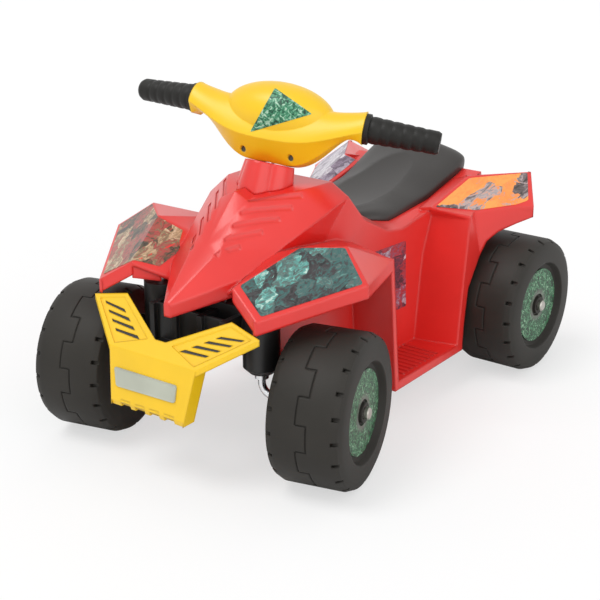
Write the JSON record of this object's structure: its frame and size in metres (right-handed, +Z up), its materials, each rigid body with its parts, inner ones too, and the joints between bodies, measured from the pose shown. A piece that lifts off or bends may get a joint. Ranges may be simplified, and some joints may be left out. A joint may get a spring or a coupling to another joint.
{
  "type": "child's ride-on quad bike",
  "caption": "Ride-on quad bike for a small child: moulded body with louvred hood and footwells, steered front wheels, geared rear wheel and accelerator pedal.",
  "frame": {"origin": "on the ground, below the middle of the overall box", "axes": "+Z up, the front faces -Y, +X is the rider's left"},
  "size_m": [0.4846, 0.7208, 0.4672],
  "materials": {
    "red_plastic": "gloss",
    "yellow_plastic": "gloss",
    "black_plastic": "matte",
    "seat_plastic": "satin",
    "grip_rubber": "satin",
    "wheel_plastic": "matte",
    "green_plastic": "gloss",
    "bright_steel": "brushed",
    "gear_plastic": "satin",
    "wire_rubber": "satin"
  },
  "bodies": {
    "chassis": {"body_shell": "red_plastic", "steering_collar": "red_plastic", "front_chassis": "black_plastic", "chassis_screws": "bright_steel", "front_bumper": "yellow_plastic", "seat": "seat_plastic", "seat_screw": "bright_steel", "underbody_tray": "black_plastic", "tray_screws": "bright_steel", "battery": "black_plastic", "battery_strap": "black_plastic", "motor": "bright_steel", "gearbox_case": "gear_plastic", "gearbox_cover": "gear_plastic", "gear_pins": "bright_steel", "rear_axle": "bright_steel", "axle_bush": "black_plastic", "rear_left_axle_cap": "bright_steel", "rear_right_axle_cap": "bright_steel", "pedal_pin": "bright_steel", "pedal_switch": "black_plastic", "wiring": "wire_rubber"},
    "handlebar": {"steering_column": "bright_steel", "handlebar_tube": "bright_steel", "handlebar_front_cover": "yellow_plastic", "handlebar_rear_cover": "yellow_plastic", "handlebar_screws": "bright_steel", "left_grip": "grip_rubber", "right_grip": "grip_rubber"},
    "left_knuckle": {"left_kingpin": "bright_steel", "left_steering_arm": "bright_steel", "front_left_axle_cap": "bright_steel"},
    "right_knuckle": {"right_kingpin": "bright_steel", "right_steering_arm": "bright_steel", "front_right_axle_cap": "bright_steel"},
    "tie_link": {"tie_bar": "bright_steel"},
    "front_left": {"front_left_wheel": "wheel_plastic", "front_left_hub_disc": "green_plastic"},
    "front_right": {"front_right_wheel": "wheel_plastic", "front_right_hub_disc": "green_plastic"},
    "rear_left": {"rear_left_wheel": "wheel_plastic", "rear_left_hub_disc": "green_plastic"},
    "rear_right": {"rear_right_wheel": "wheel_plastic", "rear_right_hub_disc": "green_plastic", "drive_gear": "gear_plastic"},
    "second_gear": {"second_idler": "gear_plastic"},
    "first_gear": {"first_idler": "gear_plastic"},
    "motor_rotor": {"motor_pinion": "gear_plastic"},
    "accelerator": {"pedal": "black_plastic"},
    "button": {"switch_button": "black_plastic"}
  },
  "joints": [
    {"name": "steering", "type": "hinge", "parent": "chassis", "child": "handlebar", "pos_m": [0, -0.11065, 0.35], "axis": [0, 0.342, 0.9397], "range_deg": [-40.2, 13.8]},
    {"name": "left_steer", "type": "hinge", "parent": "chassis", "child": "left_knuckle", "pos_m": [0.082, -0.23235, 0.1], "axis": [0, 0, 1], "range_deg": [-40.2, 13.8]},
    {"name": "right_steer", "type": "hinge", "parent": "chassis", "child": "right_knuckle", "pos_m": [-0.082, -0.23235, 0.1], "axis": [0, 0, 1], "range_deg": [-40.2, 13.8]},
    {"name": "tie_swing", "type": "hinge", "parent": "left_knuckle", "child": "tie_link", "pos_m": [0.07287, -0.19341, 0.2281], "axis": [0, 0, 1], "range_deg": [-13.8, 40.2]},
    {"name": "front_left_spin", "type": "hinge", "parent": "left_knuckle", "child": "front_left", "pos_m": [0.17376, -0.21083, 0.1], "axis": [0.9736, 0.2284, 0], "continuous": true},
    {"name": "front_right_spin", "type": "hinge", "parent": "right_knuckle", "child": "front_right", "pos_m": [-0.17376, -0.25387, 0.1], "axis": [0.9736, 0.2284, 0], "continuous": true},
    {"name": "rear_left_spin", "type": "hinge", "parent": "chassis", "child": "rear_left", "pos_m": [0.17625, 0.26045, 0.1], "axis": [1, 0, 0], "continuous": true},
    {"name": "rear_right_spin", "type": "hinge", "parent": "chassis", "child": "rear_right", "pos_m": [-0.17625, 0.26045, 0.1], "axis": [1, 0, 0], "continuous": true},
    {"name": "second_gear_spin", "type": "hinge", "parent": "chassis", "child": "second_gear", "pos_m": [-0.074, 0.22429, 0.11461], "axis": [1, 0, 0], "continuous": true},
    {"name": "first_gear_spin", "type": "hinge", "parent": "chassis", "child": "first_gear", "pos_m": [-0.064, 0.18813, 0.12922], "axis": [1, 0, 0], "continuous": true},
    {"name": "motor_spin", "type": "hinge", "parent": "chassis", "child": "motor_rotor", "pos_m": [-0.055, 0.15197, 0.14383], "axis": [1, 0, 0], "continuous": true},
    {"name": "pedal_press", "type": "hinge", "parent": "chassis", "child": "accelerator", "pos_m": [-0.1245, 0.09545, 0.069], "axis": [1, 0, 0], "range_deg": [0, 6], "stiffness_Nm_per_rad": 2, "springref_deg": -5.73},
    {"name": "button_press", "type": "slide", "parent": "chassis", "child": "button", "axis": [0, 0, -1], "range_m": [0, 0.0058]}
  ],
  "couplings": [
    {"joint": "left_steer", "follows": "steering", "ratio": 1},
    {"joint": "right_steer", "follows": "steering", "ratio": 1},
    {"joint": "tie_swing", "follows": "steering", "ratio": -1},
    {"joint": "second_gear_spin", "follows": "rear_right_spin", "ratio": -3.3333},
    {"joint": "first_gear_spin", "follows": "rear_right_spin", "ratio": 11.111},
    {"joint": "motor_spin", "follows": "rear_right_spin", "ratio": -37.037},
    {"joint": "button_press", "follows": "pedal_press", "m_per_rad": 0.0548}
  ]
}
